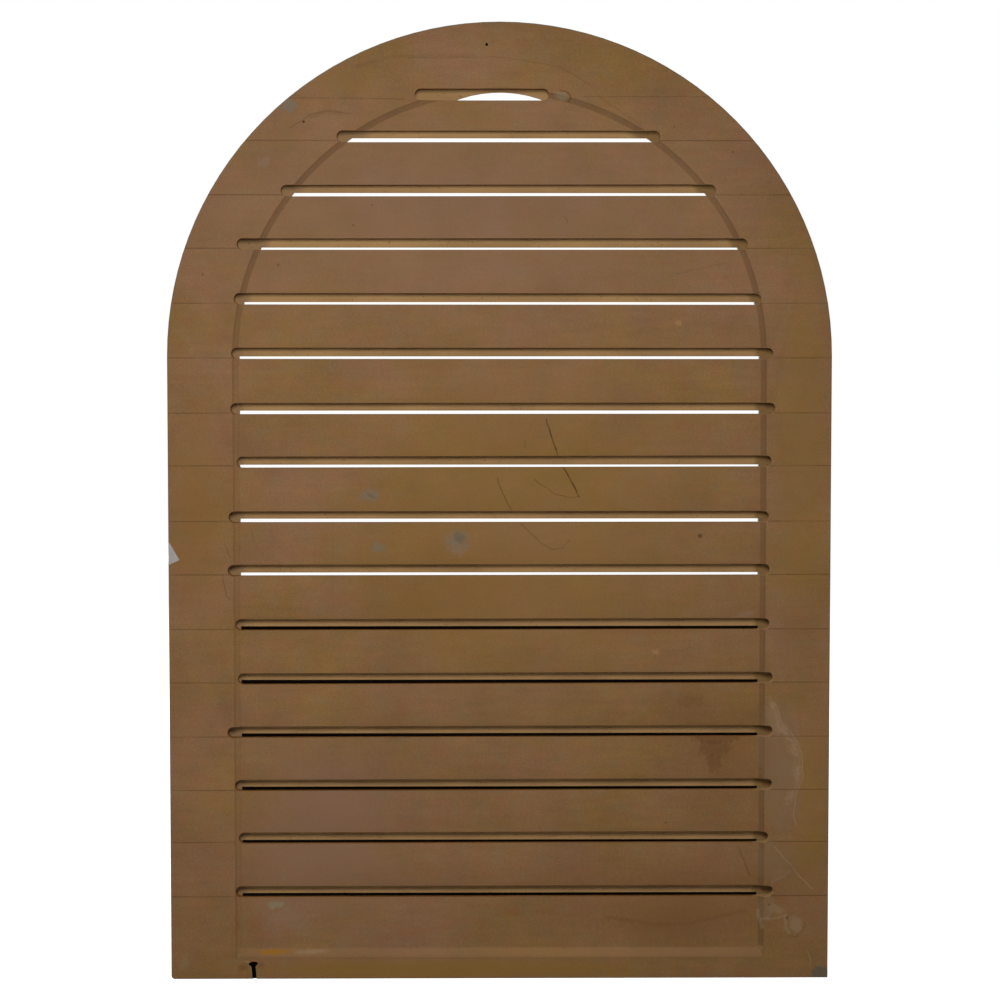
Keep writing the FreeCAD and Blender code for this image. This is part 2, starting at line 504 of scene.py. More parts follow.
@dataclass(frozen=True)
class RawSkin:
    """Bare moulded skin of the wall side, with the maker's pencil lines, the dirt of handling, and painted
    light and shade on its slopes and towards its foot.

    Attributes:
        wall: Place of the wall face through the thickness, in millimetres.
        spring: Height at which the arch starts, in millimetres.
        lines: Heights of the setting-out lines in millimetres.
        sunk: Depth of the sunk field in millimetres.
        foot: Height of the sunk field's foot in millimetres.
        painted_shade_top: Height up to which painted shade darkens the skin towards the foot, in
            millimetres.
        roughness: How matt the skin is.
    """

    wall: float
    spring: float
    lines: tuple[float, ...]
    sunk: float = 4.0
    foot: float = 27.0
    painted_shade_top: float = 480.0
    roughness: float = 0.68

    LIMITS = (120.0, 340.0, 480.0, 640.0)
    HUES = (
        Cloud((-40, 650), (340, 125), Tone.SKIN_ROSE, 0.5),
        Cloud((20, 390), (210, 190), Tone.SKIN_GOLD, 0.5),
        Cloud((255, 450), (30, 220), Tone.SKIN_GOLD, 0.4, hard=0.3),
        Cloud((-255, 410), (32, 110), Tone.SKIN_GOLD, 0.4),
        Cloud((-150, 125), (95, 115), Tone.SKIN_ROSE, 0.75, ragged=0.3, hard=0.1),
        Cloud((-60, 8), (230, 12), Tone.SKIN_GOLD, 0.8, hard=0.3),
        Cloud((170, 210), (75, 55), Tone.STAIN, 0.24, ragged=0.3, hard=0.1),
        Cloud((150, 48), (110, 30), Tone.STAIN, 0.3, ragged=0.3, hard=0.1),
        Cloud((205, 190), (60, 60), Tone.SKIN_BROWN, 0.35, ragged=0.3, hard=0.1),
        Cloud((150, 66), (150, 52), Tone.SKIN_BROWN, 0.5, ragged=0.3, hard=0.1),
        Cloud((264, 150), (20, 110), Tone.SKIN_GOLD, 0.5, hard=0.3),
        Cloud((-257, 370), (28, 90), Tone.SKIN_BROWN, 0.3),
        Cloud((-50, 335), (110, 75), Tone.SKIN_BROWN, 0.25, hard=0.1),
    )
    STAINS = (
        Patch((-160, 770), (70, 14), Tone.SKIN_OLIVE, 0.5, turn=-20),
        Patch((184, 206), (24, 7), Tone.STAIN, 0.5, ragged=0.5),
        Patch((183, 197), (16, 9), Tone.STAIN, 0.45, ragged=0.5),
        Patch((182, 184), (8, 9), Tone.STAIN, 0.45, ragged=0.5),
        Patch((12, 58), (8, 6), Tone.RED_BROWN, 0.4),
        Patch((-224, 45), (5, 14), Tone.RED_BROWN, 0.45, ragged=0.7, hard=0.2),
        Patch((-208, 44), (11, 13), Tone.RED_BROWN, 0.35, ragged=0.9, hard=0.1),
        Patch((-180, 50), (24, 15), Tone.LAVENDER, 0.35, hard=0.3),
        Patch((-268, 14), (6, 9), Tone.SMEAR_GREEN, 0.3, hard=0.2),
        Patch((-193, 23), (21, 3.6), Tone.AMBER, 0.85, turn=2, ragged=0.4, hard=0.2),
        Patch((-160, 23), (20, 3), Tone.FILM_EDGE, 0.35, turn=3, ragged=0.4, hard=0.2),
        Stroke(((-104, 34), (-80, 38), (-54, 43), (-30, 49)), 5.0, Tone.RED_BROWN, 0.25, blur=6.0),
        Patch((-218, 10), (7, 5), Tone.STAIN, 0.5, turn=30, ragged=0.5, hard=0.1),
        Patch((-203, 12), (5, 4), Tone.STAIN, 0.4, ragged=0.5, hard=0.1),
        Patch((-217, 5), (2.5, 4), Tone.AMBER, 0.35, ragged=0.4, hard=0.3),
        Stroke(((-216, 15), (-213, 14)), 1.2, Tone.DUST, 0.45, shake=0.3),
        Stroke(((-211.6, 9), (-211, 1)), 1.0, Tone.SMEAR_GREEN, 0.4, shake=0.3),
        Stroke(((-205, 9), (-204.6, 1)), 1.0, Tone.SMEAR_GREEN, 0.3, shake=0.3),
        Patch((51.5, 746.5), (7.5, 4.6), Tone.SMEAR_GREEN, 0.6, turn=-20, ragged=0.4, hard=0.4),
        Stroke(((50, 751.3), (55, 750.4), (58.4, 747.5), (59, 744.5), (57, 742)), 1.3, Tone.STAIN, 0.75,
               shake=0.4),
        Stroke(((-77, 778), (0, 779), (50, 771), (75, 756), (84, 745), (111, 727)), 0.8, Tone.STAIN, 0.4),
        Stroke(((-175, 720), (-158, 731), (-144, 734), (-125, 732)), 1.2, Tone.STAIN, 0.4),
        Stroke(((91, 52), (131, 45), (162, 46), (209, 57)), 3.0, Tone.STAIN, 0.3, blur=3.0),
        Stroke(((203, 112), (208, 100), (213, 87)), 1.4, Tone.STAIN, 0.5, blur=1.2),
        Stroke(((-119, 771), (-90, 779), (-52, 780), (-22, 780)), 2.6, Tone.STAIN, 0.22, blur=3.0),
        Stroke(((-158, 729), (-144, 734), (-133, 732)), 3.0, Tone.STAIN, 0.25, blur=3.0),
        Stroke(((54, 646), (57, 643), (55.5, 640)), 0.8, Tone.STAIN, 0.5),
        Stroke(((148, 598), (158, 601), (169, 602), (180, 606), (191, 606)), 0.7, Tone.STAIN, 0.35,
               shake=1.6),
        Stroke(((-232, 480), (-228, 450), (-225, 400)), 5.0, Tone.RED_BROWN, 0.14, blur=6.0),
        Stroke(((-232, 372), (-227, 360)), 0.8, Tone.STAIN, 0.5),
        Stroke(((-211, 386), (-207, 376)), 0.7, Tone.STAIN, 0.4),
        Stroke(((119, 323), (123, 318), (120, 312)), 1.6, Tone.RED_BROWN, 0.3, blur=1.6),
        Patch((150, 557), (4.5, 3), Tone.DUST, 0.35, hard=0.2),
        Patch((132, 279), (4, 3), Tone.DUST, 0.4, ragged=0.8, hard=0.2),
        Patch((110, 296), (75, 3.5), Tone.RED_BROWN, 0.35, ragged=0.3, hard=0.1),
        Patch((161, 237), (16, 9), Tone.STAIN, 0.25, ragged=0.5, hard=0.3),
        Patch((188, 140), (12, 6), Tone.RED_BROWN, 0.25, turn=-30, ragged=0.6, hard=0.2),
        Patch((-244, 216), (2, 2), Tone.RED_BROWN, 0.5, ragged=0.3),
        Patch((-184, 87), (4, 6), Tone.SMEAR_GREEN, 0.3, ragged=0.8, hard=0.2),
    )
    FILM = (
        Patch((236, 200), (20, 44), Tone.FILM, 0.38, ragged=0.3, hard=0.8),
        Patch((240, 160), (18, 34), Tone.FILM, 0.38, ragged=0.3, hard=0.8),
        Patch((232, 222), (7, 18), Tone.FILM_EDGE, 0.16, turn=15, ragged=0.3, hard=0.5),
        Patch((232, 100), (18, 20), Tone.FILM, 0.4, ragged=0.4, hard=0.7),
        Patch((226, 60), (8, 14), Tone.FILM, 0.5, turn=-20, ragged=0.5),
        Patch((252, 46), (6.5, 10), Tone.SMEAR_PALE, 0.32, turn=15, ragged=0.4, hard=0.5),
        Patch((235, 59), (10, 5.5), Tone.SMEAR_PALE, 0.3, turn=-10, ragged=0.8, hard=0.2),
        Stroke(((247, 36), (252, 35), (258, 40), (259.5, 48)), 1.1, Tone.STAIN, 0.45),
        Stroke(((242, 53), (243.5, 46), (246, 38)), 2.0, Tone.SMEAR_PALE, 0.38, blur=2.0, shake=1.8),
        Stroke(((224, 50), (231, 51.5), (238, 52), (243, 55)), 1.6, Tone.SMEAR_PALE, 0.36, blur=1.8,
               shake=1.8),
        Stroke(((220, 58), (222, 50), (223.5, 43)), 2.6, Tone.SMEAR_PALE, 0.38, blur=2.4, shake=1.8),
        Patch((244.5, 51.5), (1.7, 1.5), Tone.STAIN, 0.7, ragged=0.2),
        Patch((229, 63), (1.3, 1.6), Tone.STAIN, 0.6, ragged=0.2),
        Stroke(((229, 241), (236, 231), (239, 219), (246, 211), (253, 200), (257, 189), (257, 174),
                (251, 153), (249, 140), (252, 131)), 0.6, Tone.FILM_EDGE, 0.4, shake=1.6),
        Stroke(((227, 239), (234, 229), (237, 217), (244, 208), (250, 198), (254, 188), (254, 174),
                (248, 153)), 3.0, Tone.FILM_EDGE, 0.14, blur=3.0, shake=2.4),
        Patch((232, 234), (4, 5), Tone.FILM_EDGE, 0.22, hard=0.2),
        Patch((240, 213), (5, 7), Tone.FILM_EDGE, 0.25, turn=30, hard=0.2),
        Patch((249, 196), (6, 8), Tone.FILM_EDGE, 0.22, turn=30, hard=0.2),
        Patch((252, 177), (5, 10), Tone.FILM_EDGE, 0.22, hard=0.2),
        Patch((246, 156), (5, 10), Tone.FILM_EDGE, 0.18, turn=-15, hard=0.2),
        Stroke(((243, 205), (252, 203)), 0.5, Tone.FILM_EDGE, 0.35, shake=0.5),
        Stroke(((246, 192), (256, 191)), 0.5, Tone.FILM_EDGE, 0.3, shake=0.5),
        Stroke(((248, 181), (257, 181)), 0.5, Tone.FILM_EDGE, 0.35, shake=0.5),
        Stroke(((234, 112), (247, 97), (255, 87), (266, 77)), 0.6, Tone.FILM_EDGE, 0.45, shake=1.2),
        Stroke(((247, 92), (240, 86), (231, 82)), 0.6, Tone.FILM_EDGE, 0.25, shake=1.2),
        Stroke(((262, 23), (265, 14), (264, 9)), 1.0, Tone.FILM_EDGE, 0.3, shake=1.6),
    )
    SMEARS = (
        Patch((-176, 738), (7.5, 6.5), Tone.SMEAR_GREY, 0.9, ragged=0.7),
        Patch((-198, 692), (6, 5), Tone.LAVENDER, 0.55),
        Patch((-110, 412), (11, 7), Tone.SMEAR_GREY, 0.7, ragged=0.7, hard=0.3),
        Patch((-109, 412), (4, 2), Tone.SMEAR_DARK, 0.6, turn=-25),
        Patch((-103, 368), (8, 6), Tone.SMEAR_GREY, 0.7, ragged=0.7, hard=0.3),
        Patch((-36, 366), (11, 8), Tone.LAVENDER, 0.6, ragged=0.7, hard=0.2),
        Patch((-36, 374), (14, 12), Tone.SMEAR_GREY, 0.7, ragged=0.7, hard=0.25),
        Patch((-34, 376), (9, 6), Tone.SMEAR_DARK, 0.6, turn=-40, ragged=0.7, hard=0.2),
        Patch((-191, 63), (8, 4), Tone.SMEAR_GREEN, 0.8),
        Patch((208, 311), (11, 3), Tone.LAVENDER, 0.5, turn=15),
        Patch((273, 3), (10, 8), Tone.SMUDGE, 0.9, ragged=0.4),
    )
    PENCIL = (
        Stroke(((39, 476), (49, 446)), 1.1, Tone.PENCIL, 0.9),
        Stroke(((54, 435), (67, 411)), 1.2, Tone.PENCIL, 0.9),
        Stroke(((29, 425), (47, 413), (58, 410), (67, 411)), 0.6, Tone.PENCIL, 0.5),
        Stroke(((-2, 427), (2, 414), (11, 398)), 0.7, Tone.PENCIL, 0.65),
        Stroke(((18, 388), (34, 372), (44, 366), (52, 367), (59, 374)), 0.7, Tone.PENCIL, 0.5),
        Stroke(((21, 459), (21, 452)), 0.6, Tone.PENCIL, 0.4),
        Stroke(((-234, 345), (-231, 328), (-228, 324)), 0.5, Tone.PENCIL, 0.5),
        Stroke(((-200, 745), (-80, 744)), 0.6, Tone.PENCIL, 0.4, shake=0.3),
        Stroke(((70, 746), (200, 746)), 0.6, Tone.PENCIL, 0.4, shake=0.3),
        Patch((169.5, 377.5), (2.8, 2.6), Tone.PENCIL, 0.6, ragged=0.4),
        *specks(Tone.PENCIL, 0.9, (-164, 725, 1.4)),
        *specks(Tone.STAIN, 0.6, (-123, 639, 1.4), (-186, 606, 1.6), (-107, 656, 1.1), (-249, 598, 1.2),
                (146, 721, 1.1), (195, 700, 1.2), (141, 133, 1.2)),
        Stroke(((169, 377), (175, 381)), 1.0, Tone.STAIN, 0.4, shake=0.4),
    )

    def depth(self, graph: MarkGraph) -> NodeSocket:
        """Depth from the wall face in millimetres."""
        return graph.math("SUBTRACT", graph.axis("Y"), self.wall)

    def setting_out(self, graph: MarkGraph, zone: int) -> NodeSocket:
        """Find the pencil lines that were ruled across the frame, one at the foot of each slot.

        Args:
            graph: The finish that takes them.
            zone: Number of the zone from the foot up.

        Returns:
            The socket with their cover.
        """
        low, high = self.limits(zone)
        height = graph.axis("Z")
        nearest: Feed = PER_METRE
        for line in self.lines:
            if low - 1 < line < high + 1:
                away = graph.math("ABSOLUTE", graph.math("SUBTRACT", height, line))
                nearest = graph.math("MINIMUM", nearest, away)
        on_frame = graph.fade(self.depth(graph), 0.2, 0.6, 1, 0)
        worn = graph.fade(graph.noise(30, 3, stretch=(2, 1, 1), seed=5.5), 0.3, 0.6, 0.5, 1)
        return graph.times(graph.fade(nearest, 0.1, 0.8, 0.5, 0), on_frame, worn)

    def slope_dust_and_shade(self, graph: MarkGraph, colour: NodeSocket) -> NodeSocket:
        """Darken the sunk field's rim; lighten its slope on the left and at the foot, and darken it on the
        right and round the arch, partly dust and soil, partly painted light and shade.

        Args:
            graph: The finish that takes them.
            colour: Colour of the skin.

        Returns:
            The socket with the tinted colour.
        """
        depth, across, height = self.depth(graph), graph.axis("X"), graph.axis("Z")
        foot = (self.foot - 1, self.foot + 2)
        rim = graph.times(graph.fade(depth, 0.05, 0.3), graph.fade(depth, 0.6, 1.6, 0.3, 0))
        slope = graph.times(graph.fade(depth, 0.1, 0.8),
                            graph.fade(depth, self.sunk - 0.8, self.sunk - 0.05, 1, 0))
        side = graph.times(graph.fade(height, *foot),
                           graph.fade(height, self.spring - 60, self.spring + 60, 1, 0))
        # Painted light together with dust: the slope is paler on the left.
        pale = graph.times(side, graph.fade(across, -220, 80, 0.1, 0))
        # Painted shade together with soil: the slope darkens towards the right and round the arch.
        soil_and_shade = graph.math("MAXIMUM", graph.fade(across, 40, 225, 0, 0.38),
                          graph.fade(height, self.spring - 30, self.spring + 90, 0, 0.3))
        # Painted light together with dust: the foot slope, which faces up, is paler.
        low = graph.times(graph.fade(height, *foot, 1, 0), graph.fade(across, -180, 120, 0.18, 0.34))
        colour = graph.tint(rim, colour, Tone.STAIN.value)
        for cover, tone in ((pale, Tone.DUST), (soil_and_shade, Tone.SLOPE_SOIL_AND_SHADE), (low, Tone.DUST)):
            colour = graph.tint(graph.times(slope, cover), colour, tone.value)
        return colour

    def limits(self, zone: int) -> Spot:
        """Lowest and highest place of a zone, counted from the foot up."""
        return ((-math.inf, *self.LIMITS)[zone], (*self.LIMITS, math.inf)[zone])

    def zone_marks(self, marks: tuple[Mark, ...], zone: int) -> tuple[Mark, ...]:
        """Pick the marks that reach into a zone, counted from the foot up."""
        low, high = self.limits(zone)
        return tuple(mark for mark in marks if mark.span[0] < high and mark.span[1] > low)

    def material(self, zone: int) -> Material:
        """Make the finish of one zone, with the marks that show there.

        Args:
            zone: Number of the zone from the foot up.

        Returns:
            Its material.
        """
        graph = MarkGraph(f"raw_skin_{zone}")
        cloud = graph.noise(70, 5, stretch=(1.3, 1, 1), seed=1.3, roughness=0.66)
        colour = graph.tint(graph.fade(cloud, 0.22, 0.78), Tone.SKIN_RED.value, Tone.SKIN_OLIVE.value)
        mottle = graph.noise(13, 3, stretch=(1.3, 1, 1), seed=11.5, roughness=0.6)
        colour = graph.tint(graph.fade(mottle, 0.5, 0.75, 0, 0.4), colour, Tone.SKIN_WARM.value)
        colour = graph.tint(graph.fade(mottle, 0.5, 0.25, 0, 0.45), colour, Tone.SKIN_DULL.value)
        colour = graph.shade(colour, graph.noise(70, 5, seed=7.9, roughness=0.7), 0.24)
        colour = graph.shade(colour, graph.noise(5, 3, stretch=(7, 1, 1), seed=2.2), 0.08)
        grain = graph.noise(1.4, 2, stretch=(1.4, 1, 1), seed=4.4)
        colour = graph.shade(colour, grain, 0.18)
        # Painted shade: the skin darkens towards the foot, where the lamp lights it less.
        colour = graph.shade(colour, graph.fade(graph.axis("Z"), 0, self.painted_shade_top, 0, 0.5), 0.04)
        colour = graph.lay(colour, self.zone_marks(self.HUES, zone))
        colour = self.slope_dust_and_shade(graph, colour)
        colour = graph.lay(colour, self.zone_marks(self.STAINS + self.FILM + self.SMEARS, zone))
        colour = graph.tint(self.setting_out(graph, zone), colour, Tone.PENCIL.value)
        colour = graph.lay(colour, self.zone_marks(self.PENCIL, zone))
        dull = graph.fade(cloud, 0.3, 0.7, self.roughness - 0.06, self.roughness + 0.08)
        peel = graph.relief(graph.noise(3.5, 1, seed=8.8), 0.15 * MM, 0.35)
        normal = graph.relief(grain, 0.08 * MM, 0.4, peel)
        graph.set(Base_Color=colour, Roughness=dull, Normal=normal, Specular_IOR_Level=0.1)
        return graph.material

    def materials(self) -> list[Material]:
        """Make the finishes of all zones, from the foot up."""
        return [self.material(zone) for zone in range(len(self.LIMITS) + 1)]


@dataclass(frozen=True)
class CutFoam:
    """Pale foam laid bare by the cutter, with its pores and the cutter's fine steps.

    Attributes:
        spring: Height at which the arch of the louvre field starts, in millimetres.
        reach: Half the width of the louvre field in millimetres. The foam takes the colours of the ends
            outside it.
        name: Name of the finish.
        pale: Its main colour.
        dark: Colour of its clouds.
        left_end: Colour of the foam at the left ends, outside the field.
        right_end: Colour of the foam at the right ends, outside the field.
        crown_room: How far under the crown of the field the foam stays pale, in millimetres.
        pore: Usual distance between pores in millimetres.
        roughness: How matt the foam is.
    """

    spring: float
    reach: float
    name: str = "cut_foam"
    pale: Tone = Tone.FOAM_PALE
    dark: Tone = Tone.FOAM_DARK
    left_end: Tone = Tone.FOAM_END
    right_end: Tone = Tone.FOAM_END_SHADED
    crown_room: float = 25.0
    pore: float = 2.2
    roughness: float = 0.9

    def material(self) -> Material:
        """Make the finish.

        Returns:
            Its material.
        """
        graph = FinishGraph(self.name)
        cloud = graph.noise(18, 3, stretch=(3, 1, 1), seed=6.1)
        colour = graph.tint(graph.fade(cloud, 0.3, 0.7), self.pale.value, self.dark.value)
        rise = graph.math("MAXIMUM", graph.math("SUBTRACT", graph.axis("Z"), self.spring), 0.0)
        rise = graph.math("MINIMUM", rise, self.reach - self.crown_room)
        radius = graph.vector("LENGTH", graph.flat(graph.axis("X"), rise))
        end_share = graph.fade(radius, self.reach - 6, self.reach)
        # Outside the field the foam eases from the left end colour to the right one; on the floors the
        # darker right one is painted shade.
        ends = graph.tint(graph.fade(graph.axis("X"), -100, 100), self.left_end.value, self.right_end.value)
        colour = graph.tint(end_share, colour, ends)
        grain = graph.noise(0.5, 3, seed=2.9)
        colour = graph.shade(colour, grain, 0.14)
        cells = graph.node("TexVoronoi", graph.place)
        graph.fill(cells, Scale=1 / self.pore)
        pore_pit_and_shade = graph.times(graph.fade(cells.outputs["Distance"], 0.10, 0.24, 1, 0),
                          graph.fade(graph.noise(6, 1, seed=1.7), 0.52, 0.6))
        # Painted shade in the pores, which the same mask also sinks in the relief.
        colour = graph.tint(graph.times(pore_pit_and_shade, 0.7), colour, Tone.PENCIL.value)
        height = graph.math("SUBTRACT", grain, pore_pit_and_shade)
        normal = graph.relief(height, 0.25 * MM, 0.6)
        graph.set(Base_Color=colour, Roughness=self.roughness, Normal=normal, Specular_IOR_Level=0.15)
        return graph.material


@dataclass(frozen=True)
class Primer:
    """Sprayed primer, faintly dimpled and a little dirty.

    Attributes:
        name: Name of the finish.
        pale: Its main colour.
        warm: Colour of its clouds.
        dark: Colour of its specks and scuffs.
        roughness: How matt the primer is.
    """

    name: str = "primer"
    pale: Tone = Tone.PRIMER
    warm: Tone = Tone.PRIMER_WARM
    dark: Tone = Tone.PRIMER_SHADE
    roughness: float = 0.5

    def material(self) -> Material:
        """Make the finish.

        Returns:
            Its material.
        """
        graph = FinishGraph(self.name)
        cloud = graph.noise(80, 4, seed=3.1)
        colour = graph.tint(graph.fade(cloud, 0.35, 0.7), self.pale.value, self.warm.value)
        speck = graph.fade(graph.noise(2.2, 2, seed=5.8), 0.68, 0.74)
        colour = graph.tint(graph.times(speck, 0.35), colour, self.dark.value)
        scuff = graph.fade(graph.noise(6, 4, stretch=(6, 1, 1), seed=7.4), 0.62, 0.72)
        colour = graph.tint(graph.times(scuff, 0.25), colour, self.dark.value)
        dimple = graph.noise(1.6, 2, seed=9.9)
        normal = graph.relief(dimple, 0.12 * MM, 0.3)
        dull = graph.fade(cloud, 0.3, 0.7, self.roughness - 0.06, self.roughness + 0.08)
        graph.set(Base_Color=colour, Roughness=dull, Normal=normal)
        return graph.material


@dataclass(frozen=True)
class BrokenEdge:
    """Rough pale break where a flake came away from the edge.

    Attributes:
        roughness: How matt the break is.
    """

    roughness: float = 0.85

    def material(self) -> Material:
        """Make the finish.

        Returns:
            Its material.
        """
        graph = FinishGraph("broken_edge")
        crumb = graph.noise(1.2, 4, seed=1.1)
        colour = graph.tint(graph.fade(crumb, 0.5, 0.75), Tone.CHIP.value, Tone.PRIMER_SHADE.value)
        graph.set(Base_Color=colour, Roughness=self.roughness, Normal=graph.relief(crumb, 0.4 * MM, 0.7))
        return graph.material


@dataclass(frozen=True)
class DarkPocket:
    """Near-black inside of the pocket and the nail hole: painted shade in these deep holes.

    Attributes:
        roughness: How matt the inside is.
    """

    roughness: float = 0.95

    def material(self) -> Material:
        """Make the finish.

        Returns:
            Its material.
        """
        graph = FinishGraph("painted_shade_pocket")
        shade_speckle = graph.noise(1.5, 3, seed=4.2)
        # Painted shade: the holes' faces are near black.
        colour = graph.shade(Tone.HOLE_SHADE.value, shade_speckle, 0.4)
        normal = graph.relief(shade_speckle, 0.2 * MM, 0.5)
        graph.set(Base_Color=colour, Roughness=self.roughness, Normal=normal, Specular_IOR_Level=0.0)
        return graph.material


class Region(IntEnum):
    """Finishes of the moulding, in the order of its material slots. The skin's zones are the last ones."""

    CUT_FOAM = 0
    PRIMER = 1
    SOILED_SHADED_EDGE = 2
    BROKEN_EDGE = 3
    DARK_POCKET = 4
    CUT_WALL_SHADED = 5
    RAW_SKIN = 6


@dataclass
class VentMoulding:
    """The vent itself: one moulding, eased along its edges and finished face by face.

    Attributes:
        name: Name of the piece.
        outline_ease: Width of the eased edge round the wall side in metres.
        mouth_ease: Width of the eased edge round each slot in metres.
        nose_ease: Width of the eased edge along each louvre's nose in metres.
        slot_reach: Greatest depth that a cut from the wall side has, in metres.
        smooth_below: Greatest angle between faces that are shaded as one, in degrees.
        pocket_centre: Middle of the pocket in the bottom edge, across and up, in metres.
        pocket_reach: How far the pocket's walls lie from its middle, in metres.
        nail_centre: Middle of the nail hole, across and up, in metres.
        nail_reach: How far the nail hole's walls lie from its middle, in metres.
        regular_slots: How many slots were set out with a line, from the bottom up.
        line_rise: How far a slot's line lies above its lower edge, in metres.
        field_reach: Half the width of the louvre field in metres.
        floor_depth: Least depth of a cut's floor in metres.
        nose_depth: Least depth of the louvres' noses in metres.
        nose_room: How far the noses stay behind the weather face at least, in metres.
        nose_angle: Least angle between the faces at a nose's edge, in degrees.
        flat_below: Greatest angle between faces that are merged into one, in degrees.
        touch: How near a spot is to a face that it counts as part of, in metres.
        level: Greatest rise of an edge that counts as level, in metres.
        weld: Greatest distance between corners that are merged into one, in metres.
        low: Lowest corner of the frame's node.
        high: Highest corner of the frame's node.
    """

    name: str = "vent_body"
    outline_ease: float = 0.6 * MM
    mouth_ease: float = 0.35 * MM
    nose_ease: float = 0.8 * MM
    slot_reach: float = 19.0 * MM
    smooth_below: float = 24.0
    pocket_centre: Spot = (-0.2088, 0.0075)
    pocket_reach: float = 10.5 * MM
    nail_centre: Spot = (-0.011, 0.7892)
    nail_reach: float = 2.0 * MM
    regular_slots: int = 15
    line_rise: float = 1.2 * MM
    field_reach: float = 219.6 * MM
    floor_depth: float = 10.0 * MM
    nose_depth: float = 28.0 * MM
    nose_room: float = 4.0 * MM
    nose_angle: float = 20.0
    flat_below: float = 0.2
    touch: float = 0.1 * MM
    level: float = 0.01 * MM
    weld: float = 0.001 * MM
    low: Vector = field(default_factory=lambda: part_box(NODE)[0])
    high: Vector = field(default_factory=lambda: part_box(NODE)[1])

    def depth(self, spot: Vector) -> float:
        """Depth of a spot from the wall side in metres."""
        return spot.y - self.low.y

    def off_outline(self, spot: Vector) -> float:
        """Find how far a spot lies inside the vent's outline.

        Args:
            spot: The spot.

        Returns:
            Its distance from the nearest outer edge in metres.
        """
        half = self.high.x
        spring = self.high.z - half
        side = half - (abs(spot.x) if spot.z < spring else math.hypot(spot.x, spot.z - spring))
        return min(side, spot.z)

    def is_outer_wall(self, face: BMFace) -> bool:
        """Whether a face is part of the vent's side, top or bottom."""
        return all(abs(self.off_outline(v.co)) < self.touch for v in face.verts)

    def near(self, face: BMFace, centre: Spot, reach: float) -> bool:
        """Whether the whole of a face lies near a line through the thickness."""
        return all(math.hypot(v.co.x - centre[0], v.co.z - centre[1]) < reach for v in face.verts)

    def region(self, face: BMFace) -> Region:
        """Find the finish of a face.

        Args:
            face: A face of the merged moulding.

        Returns:
            Its finish.
        """
        faces_wall = face.normal.y < -0.5
        across = abs(face.normal.y) < 0.02
        tilted = face.normal.y > -0.995
        deepest = max(self.depth(v.co) for v in face.verts)
        if self.near(face, self.nail_centre, self.nail_reach):
            return Region.DARK_POCKET
        if self.is_outer_wall(face):
            return Region.PRIMER
        if self.near(face, self.pocket_centre, self.pocket_reach):
            return Region.DARK_POCKET
        if across and deepest < self.slot_reach:
            return Region.CUT_WALL_SHADED
        if faces_wall and deepest > self.floor_depth:
            return Region.CUT_FOAM
        if faces_wall:
            touches_side = min(abs(self.off_outline(v.co)) for v in face.verts) < self.touch
            return Region.BROKEN_EDGE if touches_side and tilted else Region.RAW_SKIN
        return Region.PRIMER

    def merged_copy(self) -> BMesh:
        """Copy the frame's node as a closed mesh of whole flat faces.

        Returns:
            The mesh.
        """
        mesh = bmesh.new()
        mesh.from_mesh(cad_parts[NODE].data)
        bmesh.ops.remove_doubles(mesh, verts=mesh.verts, dist=self.weld)
        bmesh.ops.dissolve_limit(mesh, angle_limit=math.radians(self.flat_below), verts=mesh.verts,
                                 edges=mesh.edges)
        mesh.normal_update()
        return mesh

    def ease(self, mesh: BMesh, edges: list[BMEdge], width: float, finish: Region) -> None:
        """Round a set of edges.

        Args:
            mesh: The moulding.
            edges: The edges to round.
            width: Width of the rounding in metres.
            finish: Finish of the new faces.
        """
        made = bmesh.ops.bevel(
            mesh, geom=edges, offset=width, offset_type="OFFSET", segments=2, profile=0.5,
            affect="EDGES", clamp_overlap=True, material=-1,
        )
        for face in made["faces"]:
            face.material_index = finish

    def between(self, mesh: BMesh, first: Region, second: Region) -> list[BMEdge]:
        """Edges where two finishes meet at an outward corner."""
        pair = {first, second}
        return [
            e for e in mesh.edges
            if {f.material_index for f in e.link_faces} == pair and e.is_convex and len(e.link_faces) == 2
        ]

    def outline_edges(self, mesh: BMesh) -> list[BMEdge]:
        """Edges round the wall side."""
        return [
            e for e in self.between(mesh, Region.RAW_SKIN, Region.PRIMER)
            if all(self.depth(v.co) < self.touch for v in e.verts)
        ]

    def nose_edges(self, mesh: BMesh) -> list[BMEdge]:
        """Edges along the louvres' noses."""
        deepest = self.depth(self.high) - self.nose_room
        return [
            e for e in mesh.edges
            if e.is_convex and len(e.link_faces) == 2
            and all(self.nose_depth < self.depth(v.co) < deepest for v in e.verts)
            and abs(e.verts[0].co.z - e.verts[1].co.z) < self.level
            and e.calc_face_angle() > math.radians(self.nose_angle)
        ]

    def cut_zones(self, mesh: BMesh) -> None:
        """Part the skin along the limits of its zones, and give each zone its own slot.

        Args:
            mesh: The moulding.
        """
        for height in RawSkin.LIMITS:
            skin = [f for f in mesh.faces if f.material_index == Region.RAW_SKIN]
            edges = dict.fromkeys(e for f in skin for e in f.edges)
            corners = dict.fromkeys(v for f in skin for v in f.verts)
            bmesh.ops.bisect_plane(mesh, geom=[*corners, *edges, *skin], dist=self.weld,
                                   plane_co=(0, 0, height * MM), plane_no=(0, 0, 1))
        for face in mesh.faces:
            if face.material_index == Region.RAW_SKIN:
                middle = face.calc_center_median().z * PER_METRE
                face.material_index += sum(middle > height for height in RawSkin.LIMITS)

